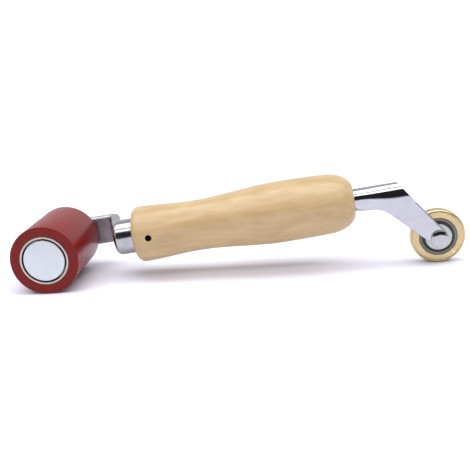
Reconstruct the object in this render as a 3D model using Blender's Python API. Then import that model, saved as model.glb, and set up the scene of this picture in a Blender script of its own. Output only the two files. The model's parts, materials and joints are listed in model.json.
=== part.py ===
"""Seam roller with two working ends: a silicone pressure roller on a side bracket and a brass penny wheel.

The tool stands on its two round ends on Z = 0. +X runs from the silicone roller to the penny wheel and
both wheels turn about Y. Lengths are in millimetres here and are turned into metres as meshes are made.
"""
import math

import bmesh
import bpy
from mathutils import Matrix, Vector

for old in list(bpy.data.objects):
    bpy.data.objects.remove(old, do_unlink=True)

MM = 0.001
GAP = 0.15

# Sides on small, middling and large round pieces
SMALL = 28
ROUND = 40
LARGE = 56

# Silicone roller and its tube
ROLLER_R = 20.0
ROLLER_W = 51.0
CORE_R = 14.25
CORE_BORE_R = 13.05

# Roller axle: a flat head in front, a journal, and a threaded tail behind the bracket
HEAD_R = 12.05
HEAD_T = 2.0
AXLE_R = 5.0
TAIL_R = 4.0

# Bearings: outside radius, bore radius, width, ball radius, number of balls
ROLLER_BEARING = dict(out=12.9, bore=5.15, width=8.0, ball=2.2, count=7)
PENNY_BEARING = dict(out=11.0, bore=4.15, width=7.0, ball=1.85, count=7)
BEARING_Y = 18.7

# Handle and the line it is turned about, which climbs from the roller towards the penny wheel
TILT = math.radians(6.35)
AXIS_Z = 20.2
AXIS_Y = 1.2
HANDLE_X = 49.7
HANDLE_L = 130.9
END_FACE_R = 12.6
END_R = 16.6
WAIST_R = 15.05
WAIST_AT = 37.4
SWELL_R = 18.15
SWELL_AT = 87.4
CROWN_R = 17.6
CROWN_AT = 114.4
TAIL_FACE_R = 7.6
PIN_AT = 10.3
PIN_RISE = 0.8
PIN_R = 1.6
PIN_HOLE_R = 1.85
PIN_HALF = 8.0
TANG_R = 5.5
TANG_L = 48.0

# Collar and the flat bar bent round the end of the silicone roller
COLLAR_R = 10.5
COLLAR_L = 12.2
COLLAR_NOSE_R = 8.0
COLLAR_NOSE_L = 2.8
BAR_T = 5.6
BAR_H = 18.0
BAR_EDGE_R = 2.0
BAR_Y = 30.6
BAR_BEND_X = 31.8
BAR_NECK_X = 38.9
BAR_END_X = 47.0

# Penny arm: a round rod with a flat blade that drops to the brass wheel
ROD_R = 6.5
ROD_IN = 46.0
BLADE_FRONT = -5.25
BLADE_T = 3.6
BLADE_EDGE = 0.9
BLADE_END_R = 5.2
CORNER = (204.6, 49.3)
CROOK = (195.4, 35.2)
PENNY_X = 228.0
PENNY_R = 15.9
PENNY_W = 7.5
PENNY_FRONT = -0.3
PENNY_EDGE = 1.2
SPACER_R = 7.75
RIVET_R = 5.15
RIVET_H = 2.2
SPIGOT_R = 3.0

# Nut and washer on the tail of the roller axle
NUT_FLATS = 13.0
NUT_T = 5.5
WASHER_R = 8.0
WASHER_T = 1.5

BAR_BACK = BAR_Y + BAR_T / 2
TAIL_END = BAR_BACK + WASHER_T + NUT_T + 2.2
ORIGIN = Vector(((PENNY_X + PENNY_R - ROLLER_R) / 2, (TAIL_END - ROLLER_W / 2) / 2, 0))

ROLLER_AXLE = Vector((0, 0, ROLLER_R))
PENNY_AXLE = Vector((PENNY_X, 0, PENNY_R))


def on_handle_line(x, y=0.0, z=0.0):
    """A point given along, across and above the line the handle is turned about."""
    turn = Matrix.Rotation(-TILT, 4, "Y")
    return turn @ Vector((x, y, z)) + Vector((0, AXIS_Y, AXIS_Z))


def paint(name, colour, metal, rough):
    """A plain material that belongs to one piece."""
    mat = bpy.data.materials.new(name)
    mat.use_nodes = True
    shader = mat.node_tree.nodes["Principled BSDF"]
    shader.inputs["Base Color"].default_value = (*colour, 1)
    shader.inputs["Metallic"].default_value = metal
    shader.inputs["Roughness"].default_value = rough
    return mat


FINISH = {
    "silicone": ((0.30, 0.035, 0.025), 0.0, 0.45),
    "steel": ((0.62, 0.63, 0.66), 1.0, 0.32),
    "chrome": ((0.78, 0.78, 0.82), 1.0, 0.10),
    "bar": ((0.30, 0.31, 0.31), 1.0, 0.45),
    "tube": ((0.80, 0.78, 0.74), 1.0, 0.35),
    "brass": ((0.72, 0.50, 0.22), 1.0, 0.25),
    "wood": ((0.68, 0.46, 0.27), 0.0, 0.50),
    "seal": ((0.03, 0.03, 0.035), 0.0, 0.55),
    "nylon": ((0.55, 0.50, 0.40), 0.0, 0.50),
}


def add_piece(name, bm, finish, pivot=None, smooth=40):
    """Make one object from a mesh in millimetres, with its origin on the pivot given."""
    bmesh.ops.remove_doubles(bm, verts=bm.verts, dist=0.002)
    bmesh.ops.recalc_face_normals(bm, faces=bm.faces)
    pivot = Vector(pivot) if pivot is not None else Vector((0, 0, 0))
    for vert in bm.verts:
        vert.co = (vert.co - pivot) * MM
    mesh = bpy.data.meshes.new(name)
    bm.to_mesh(mesh)
    bm.free()
    mesh.polygons.foreach_set("use_smooth", [True] * len(mesh.polygons))
    mesh.set_sharp_from_angle(angle=math.radians(smooth))
    obj = bpy.data.objects.new(name, mesh)
    obj.location = (pivot - ORIGIN) * MM
    mesh.materials.append(paint(name, *FINISH[finish]))
    bpy.context.scene.collection.objects.link(obj)
    return obj


def turned(profile, place, steps, closed=False):
    """Turn a profile of (radius, along) points about an axis; place(radius, angle, along) gives the point."""
    bm = bmesh.new()
    rings = []
    for radius, along in profile:
        count = 1 if radius < 1e-6 else steps
        ring = [bm.verts.new(place(radius, 2 * math.pi * i / steps, along)) for i in range(count)]
        rings.append(ring)
    pairs = list(zip(rings, rings[1:]))
    if closed:
        pairs.append((rings[-1], rings[0]))
    for low, high in pairs:
        for i in range(steps):
            j = (i + 1) % steps
            corners = [low[i % len(low)], low[j % len(low)], high[j % len(high)], high[i % len(high)]]
            unique = list(dict.fromkeys(corners))
            if len(unique) > 2:
                bm.faces.new(unique)
    return bm


def about(axle):
    """Placement for turning about Y through a wheel's centre."""
    def place(radius, angle, along):
        return axle + Vector((radius * math.sin(angle), along, radius * math.cos(angle)))
    return place


def about_handle(radius, angle, along):
    """Placement for turning about the handle's own line."""
    return on_handle_line(along, radius * math.cos(angle), radius * math.sin(angle))


def ring_profile(inner, outer, front, back, edge=0.0):
    """Section of a plain ring with its four edges broken."""
    if edge == 0:
        return [(inner, front), (outer, front), (outer, back), (inner, back)]
    return [(inner + edge, front), (outer - edge, front), (outer, front + edge), (outer, back - edge),
            (outer - edge, back), (inner + edge, back), (inner, back - edge), (inner, front + edge)]


def ring(name, axle, section, finish, steps=SMALL):
    return add_piece(name, turned(section, about(axle), steps, closed=True), finish, pivot=axle)


def cylinder(centre, along, radius, length, steps=24):
    """A round bar used to cut holes."""
    bm = bmesh.new()
    bmesh.ops.create_cone(bm, cap_ends=True, segments=steps, radius1=radius, radius2=radius, depth=length)
    turn = Vector((0, 0, 1)).rotation_difference(Vector(along)).to_matrix().to_4x4()
    bmesh.ops.transform(bm, matrix=Matrix.Translation(Vector(centre)) @ turn, verts=bm.verts)
    return bm


def carve(obj, tool_bm, operation="DIFFERENCE"):
    """Cut or join a tool mesh, given in millimetres, and keep the result as the piece's mesh."""
    origin = obj.location / MM + ORIGIN
    bmesh.ops.recalc_face_normals(tool_bm, faces=tool_bm.faces)
    for vert in tool_bm.verts:
        vert.co = (vert.co - origin) * MM
    mesh = bpy.data.meshes.new("tool")
    tool_bm.to_mesh(mesh)
    tool_bm.free()
    tool = bpy.data.objects.new("tool", mesh)
    tool.location = obj.location
    tool.hide_render = True
    tool.display_type = "WIRE"
    bpy.context.scene.collection.objects.link(tool)
    modifier = obj.modifiers.new("carve", "BOOLEAN")
    modifier.operation = operation
    modifier.solver = "EXACT"
    modifier.object = tool
    bpy.context.view_layer.update()
    graph = bpy.context.evaluated_depsgraph_get()
    result = bpy.data.meshes.new_from_object(obj.evaluated_get(graph))
    obj.modifiers.clear()
    obj.data = result
    bpy.data.objects.remove(tool, do_unlink=True)
    bm = bmesh.new()
    bm.from_mesh(result)
    bmesh.ops.dissolve_degenerate(bm, dist=1e-6, edges=bm.edges)
    bmesh.ops.remove_doubles(bm, verts=bm.verts, dist=2e-6)
    bm.to_mesh(result)
    bm.free()
    result.polygons.foreach_set("use_smooth", [True] * len(result.polygons))
    result.set_sharp_from_angle(angle=math.radians(35))
    return obj


def blend(low, high, t):
    """Ease from one value to another as t goes from 0 to 1."""
    return low + (high - low) * 0.5 * (1 - math.cos(math.pi * t))


# Bearings ----------------------------------------------------------------------------------------

def bearing(prefix, axle, front, size):
    """Two races, a cage with round pockets, a ball in each pocket, and a shield on each side."""
    width = size["width"]
    middle = front + width / 2
    pitch = (size["out"] + size["bore"]) / 2
    ball = size["ball"]
    groove = ball + 0.12
    inner_lip = pitch - ball * 0.52
    outer_lip = pitch + ball * 0.52
    reach = math.acos((pitch - inner_lip) / groove)

    def groove_points(side):
        points = []
        for i in range(5):
            angle = -reach + 2 * reach * i / 4
            points.append((pitch + side * groove * math.cos(angle), middle + groove * math.sin(angle)))
        return points

    edge = 0.4
    back = front + width
    inner = [(size["bore"] + edge, front), (inner_lip, front)] + groove_points(-1)
    inner += [(inner_lip, back), (size["bore"] + edge, back)]
    inner += [(size["bore"], back - edge), (size["bore"], front + edge)]
    ring(prefix + "_inner_race", axle, inner, "steel")
    step = outer_lip + 0.9
    outer = [(step, front), (size["out"] - edge, front), (size["out"], front + edge)]
    outer += [(size["out"], back - edge), (size["out"] - edge, back), (step, back)]
    outer += [(step, back - 0.75), (outer_lip, back - 0.75)]
    outer += list(reversed(groove_points(1)))
    outer += [(outer_lip, front + 0.75), (step, front + 0.75)]
    ring(prefix + "_outer_race", axle, outer, "steel")
    for side, face in (("front", front + 0.25), ("back", back - 0.6)):
        shield = ring_profile(inner_lip + 0.25, step - 0.12, face, face + 0.35)
        ring(prefix + "_" + side + "_seal", axle, shield, "seal")

    cage_half = ball + 0.62
    thin = 0.55
    section = ring_profile(pitch - thin, pitch + thin, middle - cage_half, middle + cage_half)
    cage = ring(prefix + "_cage", axle, section, "nylon")
    holes = bmesh.new()
    for i in range(size["count"]):
        angle = 2 * math.pi * i / size["count"]
        out = Vector((math.sin(angle), 0, math.cos(angle)))
        centre = axle + out * pitch + Vector((0, middle, 0))
        hole = cylinder(centre, out, ball + 0.25, 2.6, 10)
        mesh = bpy.data.meshes.new("hole")
        hole.to_mesh(mesh)
        hole.free()
        holes.from_mesh(mesh)
        body = bmesh.new()
        bmesh.ops.create_uvsphere(body, u_segments=10, v_segments=6, radius=ball)
        bmesh.ops.translate(body, vec=centre, verts=body.verts)
        add_piece(prefix + "_ball_" + str(i + 1), body, "chrome", pivot=axle, smooth=180)
    carve(cage, holes)


# Silicone roller ---------------------------------------------------------------------------------

def pressure_roller():
    half = ROLLER_W / 2
    sleeve = ring_profile(CORE_R + GAP, ROLLER_R, -half, half, 0.5)
    ring("silicone_sleeve", ROLLER_AXLE, sleeve, "silicone", LARGE)
    seat = BEARING_Y - ROLLER_BEARING["width"] / 2
    back_face = BEARING_Y + ROLLER_BEARING["width"] / 2
    groove = back_face + 0.2
    core = [(CORE_BORE_R, -half + 0.3), (CORE_BORE_R + 0.3, -half), (CORE_R - 0.3, -half), (CORE_R, -half + 0.3)]
    core += [(CORE_R, half - 0.3), (CORE_R - 0.3, half), (CORE_BORE_R + 0.3, half), (CORE_BORE_R, half - 0.3)]
    core += [(CORE_BORE_R, groove + 1.3), (CORE_BORE_R + 0.6, groove + 1.3)]
    core += [(CORE_BORE_R + 0.6, groove), (CORE_BORE_R, groove)]
    ring("roller_tube", ROLLER_AXLE, core, "tube", ROUND)
    bearing("front_bearing", ROLLER_AXLE, -back_face, ROLLER_BEARING)
    bearing("rear_bearing", ROLLER_AXLE, seat, ROLLER_BEARING)
    outer_gap = ring_profile(11.4, 12.9, -seat + GAP, seat - GAP)
    ring("outer_race_spacer", ROLLER_AXLE, outer_gap, "steel")
    inner_gap = ring_profile(AXLE_R + GAP, 6.8, -seat + GAP, seat - GAP)
    ring("inner_race_spacer", ROLLER_AXLE, inner_gap, "steel")
    circlip(groove)


def circlip(groove):
    """Open spring ring that sits in the groove behind the rear bearing."""
    bm = bmesh.new()
    steps = 36
    opening = math.radians(24)
    loops = []
    for i in range(steps + 1):
        angle = opening / 2 + (2 * math.pi - opening) * i / steps
        swell = 0.5 * (1 + math.cos(angle))
        inner = CORE_BORE_R - 1.5 - 0.9 * swell ** 6
        outer = CORE_BORE_R + 0.42
        corners = ((inner, groove + 0.12), (outer, groove + 0.12), (outer, groove + 1.18), (inner, groove + 1.18))
        loops.append([bm.verts.new(about(ROLLER_AXLE)(r, angle, y)) for r, y in corners])
    for low, high in zip(loops, loops[1:]):
        for k in range(4):
            bm.faces.new((low[k], low[(k + 1) % 4], high[(k + 1) % 4], high[k]))
    bm.faces.new(loops[0])
    bm.faces.new(list(reversed(loops[-1])))
    add_piece("rear_circlip", bm, "bar", pivot=ROLLER_AXLE)


def roller_axle():
    front = -ROLLER_W / 2
    back_of_head = front + HEAD_T
    bearing_front = -BEARING_Y - ROLLER_BEARING["width"] / 2
    shoulder = BAR_Y - BAR_T / 2 - GAP
    profile = [(0, front), (HEAD_R - 0.35, front), (HEAD_R, front + 0.35), (HEAD_R, back_of_head)]
    profile += [(6.9, back_of_head), (6.9, bearing_front - GAP), (AXLE_R, bearing_front - GAP)]
    profile += [(AXLE_R, shoulder), (TAIL_R, shoulder), (TAIL_R, TAIL_END - 0.7), (TAIL_R - 0.7, TAIL_END)]
    profile += [(0, TAIL_END)]
    add_piece("roller_axle", turned(profile, about(ROLLER_AXLE), ROUND), "steel", pivot=ROLLER_AXLE)
    bearing_back = BEARING_Y + ROLLER_BEARING["width"] / 2
    standoff = ring_profile(AXLE_R + GAP, 7.0, bearing_back + GAP, shoulder - GAP)
    ring("bracket_standoff", ROLLER_AXLE, standoff, "steel")
    washer = ring_profile(TAIL_R + GAP, WASHER_R, BAR_BACK + GAP, BAR_BACK + WASHER_T)
    ring("axle_washer", ROLLER_AXLE, washer, "steel")
    hex_nut(BAR_BACK + WASHER_T + GAP)


def hex_nut(front):
    """Six-sided lock nut with a round collar, bored to clear the axle tail."""
    bm = bmesh.new()
    corner = NUT_FLATS / 2 / math.cos(math.pi / 6)
    sections = ((corner - 0.5, front, 6), (corner, front + 0.4, 6), (corner, front + NUT_T - 1.5, 6))
    rings = []
    for radius, y, sides in sections:
        loop = []
        for i in range(sides):
            angle = 2 * math.pi * i / sides + TILT
            loop.append(bm.verts.new(about(ROLLER_AXLE)(radius, angle, y)))
        rings.append(loop)
    for low, high in zip(rings, rings[1:]):
        for i in range(6):
            j = (i + 1) % 6
            bm.faces.new((low[i], low[j], high[j], high[i]))
    bm.faces.new(rings[0])
    bm.faces.new(list(reversed(rings[-1])))
    nut = add_piece("axle_lock_nut", bm, "steel", pivot=ROLLER_AXLE)
    crown = [(0, front + 1), (5.4, front + 1), (5.4, front + NUT_T - 0.6), (4.8, front + NUT_T), (0, front + NUT_T)]
    carve(nut, turned(crown, about(ROLLER_AXLE), SMALL), "UNION")
    middle = ROLLER_AXLE + Vector((0, front + NUT_T / 2, 0))
    carve(nut, cylinder(middle, (0, 1, 0), TAIL_R + GAP, 3 * NUT_T, SMALL))


# Bracket, collar and handle ----------------------------------------------------------------------

def bar_path():
    """Middle line of the flat bar seen from above, rounded at its two bends."""
    far = BAR_Y - AXIS_Y
    corners = [Vector((0.0, far)), Vector((BAR_BEND_X, far)), Vector((BAR_NECK_X, 0.0)), Vector((BAR_END_X, 0.0))]
    points = [corners[0]]
    for before, here, after in zip(corners, corners[1:], corners[2:]):
        back = (before - here).normalized()
        ahead = (after - here).normalized()
        cut = 4.2
        start = here + back * cut
        end = here + ahead * cut
        for i in range(6):
            t = i / 5
            points.append(start * (1 - t) ** 2 + here * 2 * t * (1 - t) + end * t ** 2)
    points.append(corners[-1])
    return points


def bar_mesh(extra=0.0, end_extra=0.0):
    """Flat bar swept along its path; extra grows it on every side to make room for it."""
    path = bar_path()
    stations = []
    round_end = BAR_H / 2
    for i in range(6):
        angle = math.radians(78) * (1 - i / 6)
        stations.append((Vector((-round_end * math.sin(angle), BAR_Y - AXIS_Y)), BAR_H * math.cos(angle)))
    stations += [(point, BAR_H) for point in path[:-1]]
    stations.append((path[-1] + Vector((end_extra, 0)), BAR_H))
    bm = bmesh.new()
    loops = []
    for k, (point, height) in enumerate(stations):
        low = stations[max(k - 1, 0)][0]
        high = stations[min(k + 1, len(stations) - 1)][0]
        ahead = (high - low).normalized()
        side = Vector((-ahead.y, ahead.x))
        edge = min(BAR_EDGE_R, height * 0.3) + extra
        half_t = BAR_T / 2 + extra
        half_h = height / 2 + extra
        loop = []
        for quarter in range(4):
            sx = (1, -1, -1, 1)[quarter]
            sz = (1, 1, -1, -1)[quarter]
            for i in range(4):
                angle = math.pi / 2 * (quarter + i / 3)
                across = sx * (half_t - edge) + edge * math.cos(angle)
                above = sz * (half_h - edge) + edge * math.sin(angle)
                spot = point + side * across
                loop.append(bm.verts.new(on_handle_line(spot.x, spot.y, above)))
        loops.append(loop)
    count = len(loops[0])
    for low, high in zip(loops, loops[1:]):
        for i in range(count):
            j = (i + 1) % count
            bm.faces.new((low[i], low[j], high[j], high[i]))
    bm.faces.new(loops[0])
    bm.faces.new(list(reversed(loops[-1])))
    bmesh.ops.recalc_face_normals(bm, faces=bm.faces)
    return bm


def bracket():
    bar = add_piece("roller_bracket", bar_mesh(), "bar", pivot=ROLLER_AXLE, smooth=35)
    hole = ROLLER_AXLE + Vector((0, BAR_Y, 0))
    carve(bar, cylinder(hole, (0, 1, 0), TAIL_R + GAP, 4 * BAR_T, SMALL))


def collar():
    nose = HANDLE_X - COLLAR_L
    profile = [(0, nose)]
    for i in range(6):
        angle = math.pi / 2 * i / 5
        radius = COLLAR_NOSE_R + (COLLAR_R - COLLAR_NOSE_R) * math.sin(angle)
        profile.append((radius, nose + COLLAR_NOSE_L * (1 - math.cos(angle))))
    foot = HANDLE_X - GAP
    profile += [(COLLAR_R, foot - 0.4), (COLLAR_R - 0.4, foot), (TANG_R, foot)]
    profile += [(TANG_R, HANDLE_X + TANG_L - 1), (TANG_R - 1, HANDLE_X + TANG_L), (0, HANDLE_X + TANG_L)]
    piece = add_piece("collar_and_tang", turned(profile, about_handle, ROUND), "chrome",
                      pivot=on_handle_line(HANDLE_X))
    carve(piece, bar_mesh(0.2, 0.2))
    carve(piece, cylinder(on_handle_line(HANDLE_X + PIN_AT, 0, PIN_RISE), (0, 1, 0), PIN_R + GAP, 20, 20))


def handle_radius(along):
    """Outside radius of the turned handle at a distance from its collar end."""
    lead = 4.0
    if along < lead:
        return END_FACE_R + (END_R - END_FACE_R) * math.sqrt(1 - (1 - along / lead) ** 2)
    if along < WAIST_AT:
        return blend(END_R, WAIST_R, (along - lead) / (WAIST_AT - lead))
    if along < SWELL_AT:
        return blend(WAIST_R, SWELL_R, (along - WAIST_AT) / (SWELL_AT - WAIST_AT))
    if along < CROWN_AT:
        return SWELL_R - (SWELL_R - CROWN_R) * ((along - SWELL_AT) / (CROWN_AT - SWELL_AT)) ** 2
    t = (along - CROWN_AT) / (HANDLE_L - CROWN_AT)
    return TAIL_FACE_R + (CROWN_R - TAIL_FACE_R) * math.sqrt(max(0.0, 1 - t * t))


def handle():
    stations = [4.0 * (1 - math.cos(math.pi / 2 * i / 3)) for i in range(3)]
    stations += [4.0 + (CROWN_AT - 4.0) * i / 12 for i in range(13)]
    stations += [CROWN_AT + (HANDLE_L - CROWN_AT) * math.sin(math.pi / 2 * i / 6) for i in range(1, 7)]
    front_bore = TANG_R + GAP
    back_bore = ROD_R + GAP
    profile = [(0, HANDLE_X + TANG_L + 1), (front_bore, HANDLE_X + TANG_L + 1), (front_bore, HANDLE_X)]
    profile += [(handle_radius(s), HANDLE_X + s) for s in stations]
    end = HANDLE_X + HANDLE_L
    profile += [(back_bore, end), (back_bore, end - ROD_IN - 1), (0, end - ROD_IN - 1)]
    piece = add_piece("wooden_handle", turned(profile, about_handle, ROUND), "wood",
                      pivot=on_handle_line(HANDLE_X), smooth=50)
    carve(piece, cylinder(on_handle_line(HANDLE_X + PIN_AT, 0, PIN_RISE), (0, 1, 0), PIN_HOLE_R, 50, 20))
    half = PIN_HALF
    pin = [(0, -half), (PIN_R - 0.3, -half), (PIN_R, 0.3 - half), (PIN_R, half - 0.3), (PIN_R - 0.3, half), (0, half)]
    centre = on_handle_line(HANDLE_X + PIN_AT, 0, PIN_RISE)
    add_piece("handle_cross_pin", turned(pin, about(centre), 20), "bar", pivot=centre)


# Penny arm and brass wheel -----------------------------------------------------------------------

def axis_line(x, offset=0.0):
    """A point in X and Z on the rod's middle line, or set off above or below it."""
    return Vector((x, AXIS_Z + math.tan(TILT) * x + offset / math.cos(TILT)))


def tangent_point(start, turn):
    """Where a line from a point touches the round end of the blade."""
    axle = Vector((PENNY_X, PENNY_R))
    to_axle = axle - start
    swing = math.asin(BLADE_END_R / to_axle.length) * turn
    ahead = Matrix.Rotation(swing, 2) @ to_axle.normalized()
    return start + ahead * math.sqrt(to_axle.length ** 2 - BLADE_END_R ** 2)


def blade_outline():
    """Outline of the blade in X and Z: shoulder, upper edge, round end, lower edge and crook."""
    axle = Vector((PENNY_X, PENNY_R))
    corner = Vector(CORNER)
    crook = Vector(CROOK)
    upper = tangent_point(corner, 1)
    lower = tangent_point(crook, -1)
    fall = (upper.y - corner.y) / (upper.x - corner.x)
    shoulder_x = (corner.y - fall * corner.x - axis_line(0, 0.4).y) / (math.tan(TILT) - fall)
    first = math.atan2(upper.y - axle.y, upper.x - axle.x)
    last = math.atan2(lower.y - axle.y, lower.x - axle.x)
    if last > first:
        last -= 2 * math.pi
    outline = [axis_line(shoulder_x, 0.4)]
    for i in range(13):
        angle = first + (last - first) * i / 12
        outline.append(axle + BLADE_END_R * Vector((math.cos(angle), math.sin(angle))))
    start = crook + (lower - crook).normalized() * 6.0
    end = axis_line(crook.x - 6.5, -ROD_R * 0.93)
    for i in range(7):
        t = i / 6
        outline.append(start * (1 - t) ** 2 + crook * 2 * t * (1 - t) + end * t ** 2)
    for i in range(1, 5):
        t = i / 5
        outline.append(axis_line(end.x - 12.0 * t, -ROD_R * 0.93 * math.cos(math.pi / 2 * t) ** 0.8 + 0.4 * t))
    return outline + [axis_line(end.x - 12.0, 0.4)]


def penny_arm():
    end = on_handle_line(HANDLE_X + HANDLE_L - ROD_IN)
    start_x = HANDLE_X + HANDLE_L - ROD_IN
    stop_x = PENNY_X / math.cos(TILT)
    profile = [(0, start_x), (ROD_R - 0.8, start_x), (ROD_R, start_x + 0.8), (ROD_R, stop_x), (0, stop_x)]
    arm = add_piece("penny_arm", turned(profile, about_handle, SMALL), "chrome", pivot=end)
    plate = bmesh.new()
    front = BLADE_FRONT
    back = BLADE_FRONT + BLADE_T
    edge = BLADE_EDGE
    outline = blade_outline()
    count = len(outline)
    inset = []
    for i, here in enumerate(outline):
        before = outline[i - 1]
        after = outline[(i + 1) % count]
        normal_in = Vector(((here - before).y, -(here - before).x)).normalized()
        normal_out = Vector(((after - here).y, -(after - here).x)).normalized()
        joint = (normal_in + normal_out).normalized()
        inset.append(here + joint * edge)
    layers = []
    for pts, y in ((inset, front), (outline, front + edge), (outline, back - 0.4), (inset, back)):
        layers.append([plate.verts.new((p.x, y, p.y)) for p in pts])
    for low, high in zip(layers, layers[1:]):
        for i in range(count):
            j = (i + 1) % count
            plate.faces.new((low[i], low[j], high[j], high[i]))
    plate.faces.new(layers[0])
    plate.faces.new(list(reversed(layers[-1])))
    trim_rod_end(arm)
    carve(arm, plate, "UNION")
    carve(arm, cylinder(PENNY_AXLE + Vector((0, BLADE_FRONT, 0)), (0, 1, 0), SPIGOT_R + GAP, 12, 28))
    return arm


def trim_rod_end(arm):
    """Cut the rod off along the line of the blade's upper edge."""
    corner = Vector((CORNER[0], 0, CORNER[1]))
    touch = tangent_point(Vector(CORNER), 1)
    ahead = (Vector((touch.x, 0, touch.y)) - corner).normalized()
    out = Vector((-ahead.z, 0, ahead.x))
    bm = bmesh.new()
    bmesh.ops.create_cube(bm, size=1)
    size = Matrix.Diagonal((90, 30, 40, 1))
    turn = Matrix((ahead, (0, 1, 0), out)).transposed().to_4x4()
    place = Matrix.Translation(corner + out * 20)
    bmesh.ops.transform(bm, matrix=place @ turn @ size, verts=bm.verts)
    carve(arm, bm)


def penny_wheel():
    front = PENNY_FRONT
    back = front + PENNY_W
    bore = PENNY_BEARING["out"] + 0.1
    wheel = [(bore, front + 0.25), (bore + 0.25, front), (PENNY_R - PENNY_EDGE, front)]
    wheel += [(PENNY_R - 0.35, front + 0.75), (PENNY_R, front + PENNY_EDGE + 0.35)]
    wheel += [(PENNY_R, back - PENNY_EDGE - 0.35), (PENNY_R - 0.35, back - 0.75), (PENNY_R - PENNY_EDGE, back)]
    wheel += [(bore + 0.25, back), (bore, back - 0.25)]
    ring("brass_penny_wheel", PENNY_AXLE, wheel, "brass", LARGE)
    bearing("penny_bearing", PENNY_AXLE, front, PENNY_BEARING)
    blade_back = BLADE_FRONT + BLADE_T
    lip = front - 0.12
    spacer = [(SPIGOT_R + GAP, blade_back + 0.1), (SPACER_R - 0.3, blade_back + 0.1), (SPACER_R, blade_back + 0.4)]
    spacer += [(SPACER_R, lip - 0.3), (5.4, lip - 0.3), (5.4, lip), (SPIGOT_R + GAP, lip)]
    ring("penny_spacer", PENNY_AXLE, spacer, "steel")
    rivet()


def rivet():
    """Penny axle: rear flange, journal, and a spigot closed to a domed head in front of the blade."""
    head = BLADE_FRONT - 0.1
    profile = [(0, head - RIVET_H)]
    sphere = (RIVET_R ** 2 + RIVET_H ** 2) / (2 * RIVET_H)
    top = math.asin(RIVET_R / sphere)
    for i in range(1, 6):
        angle = top * i / 5
        profile.append((sphere * math.sin(angle), head - RIVET_H + sphere * (1 - math.cos(angle)) - 0.01))
    back = PENNY_FRONT + PENNY_W
    journal = PENNY_FRONT
    profile += [(RIVET_R, head), (SPIGOT_R, head), (SPIGOT_R, journal), (PENNY_BEARING["bore"] - GAP, journal)]
    profile += [(PENNY_BEARING["bore"] - GAP, back + GAP), (5.6, back + GAP), (5.6, back + 1.1), (5.0, back + 1.5)]
    profile += [(0, back + 1.5)]
    add_piece("penny_axle_rivet", turned(profile, about(PENNY_AXLE), SMALL), "chrome", pivot=PENNY_AXLE)


pressure_roller()
roller_axle()
bracket()
collar()
handle()
penny_arm()
penny_wheel()
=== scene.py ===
"""Two-ended seam roller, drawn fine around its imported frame.

Sizes are in millimetres from the drawing's own zero, on the floor under the middle of the silicone
roller: X runs towards the brass penny wheel, Y away from the open face of the roller, Z up.
"""

import json
import math
from functools import partialmethod

import bmesh
import bpy
from mathutils import Matrix, Vector


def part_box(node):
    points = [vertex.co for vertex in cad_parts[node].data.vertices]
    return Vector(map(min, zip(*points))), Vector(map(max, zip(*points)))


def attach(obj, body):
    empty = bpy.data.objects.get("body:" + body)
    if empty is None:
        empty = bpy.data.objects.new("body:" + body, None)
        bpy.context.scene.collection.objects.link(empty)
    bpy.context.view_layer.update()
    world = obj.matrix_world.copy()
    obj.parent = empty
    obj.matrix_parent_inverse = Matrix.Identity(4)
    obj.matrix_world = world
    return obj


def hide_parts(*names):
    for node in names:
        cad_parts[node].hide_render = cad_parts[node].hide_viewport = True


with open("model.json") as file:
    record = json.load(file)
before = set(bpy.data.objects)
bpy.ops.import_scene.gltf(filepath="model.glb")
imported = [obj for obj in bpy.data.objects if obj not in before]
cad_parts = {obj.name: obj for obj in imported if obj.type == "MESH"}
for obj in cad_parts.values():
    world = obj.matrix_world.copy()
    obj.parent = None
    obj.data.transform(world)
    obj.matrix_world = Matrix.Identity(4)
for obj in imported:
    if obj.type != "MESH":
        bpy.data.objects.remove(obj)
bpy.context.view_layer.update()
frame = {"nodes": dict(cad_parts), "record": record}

MM = 0.001
SIDES = 144
CLEAR = 0.15

SLEEVE_LOW, SLEEVE_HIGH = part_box("silicone_sleeve")
SLEEVE_MIDDLE = (SLEEVE_LOW + SLEEVE_HIGH) / 2
DRAWING_ZERO = Vector((SLEEVE_MIDDLE.x, SLEEVE_MIDDLE.y, SLEEVE_LOW.z))
BODIES = frame["record"]["behaviour"]["bodies"]
BODY_OF = {node: body for body, nodes in BODIES.items() for node in nodes}

# Silicone roller, its tube and the axle through it
ROLLER_R = 20.0
ROLLER_W = 51.0
TUBE_R = 14.25
TUBE_BORE_R = 13.05
HEAD_R = 12.05
HEAD_T = 2.0
AXLE_R = 5.0
TAIL_R = 4.0
ROLLER_AXLE = Vector((0, 0, ROLLER_R))
ROLLER_BEARING = dict(out=12.9, bore=5.15, width=8.0, ball=2.2, count=7)
BEARING_Y = 18.7

# Handle and the line it is turned about
TILT = math.radians(6.35)
AXIS_Z = 20.2
AXIS_Y = 1.2
HANDLE_X = 49.7
HANDLE = {
    "Length": 130.9, "Lead": 4.0, "End face radius": 12.6, "End radius": 16.6,
    "Waist radius": 15.05, "Waist at": 37.4, "Swell radius": 18.11, "Swell at": 87.4,
    "Crown radius": 17.56, "Crown at": 114.4, "Tail face radius": 7.6,
}
PIN_AT = 10.3
PIN_RISE = 0.8
PIN_R = 1.6
PIN_HOLE_R = 1.85
PIN_HALF = 8.0
TANG_R = 5.5
TANG_L = 48.0

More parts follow.
